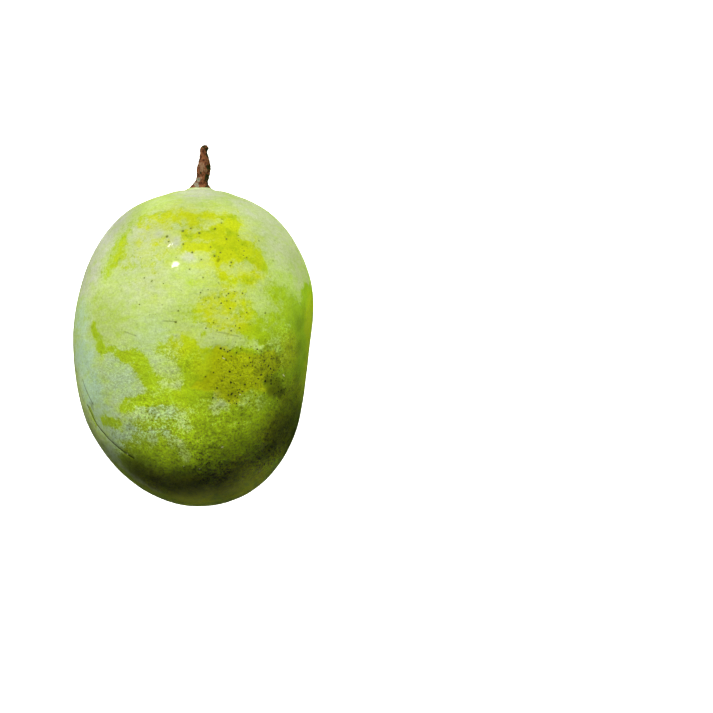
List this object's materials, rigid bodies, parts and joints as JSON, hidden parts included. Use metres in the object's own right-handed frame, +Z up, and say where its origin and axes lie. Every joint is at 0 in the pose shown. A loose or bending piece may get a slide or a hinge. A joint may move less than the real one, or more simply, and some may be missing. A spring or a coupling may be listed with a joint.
{
  "type": "langra mango",
  "caption": "Whole green oval mango with a waxy skin, lying on one cheek on a small flat spot, with a short woody stalk at its broad end.",
  "frame": {"origin": "middle of the small flat spot under the lower cheek, where the fruit rests", "axes": "+Z up through the upper cheek, +Y along the fruit towards its stalk, +X towards the flank that is hollowed a little above the tip"},
  "size_m": [0.0762, 0.1139, 0.0685],
  "materials": {
    "mango_skin": "satin",
    "stalk_bark": "matte"
  },
  "bodies": {
    "root": {"fruit": "mango_skin", "stalk": "stalk_bark"}
  },
  "joints": []
}
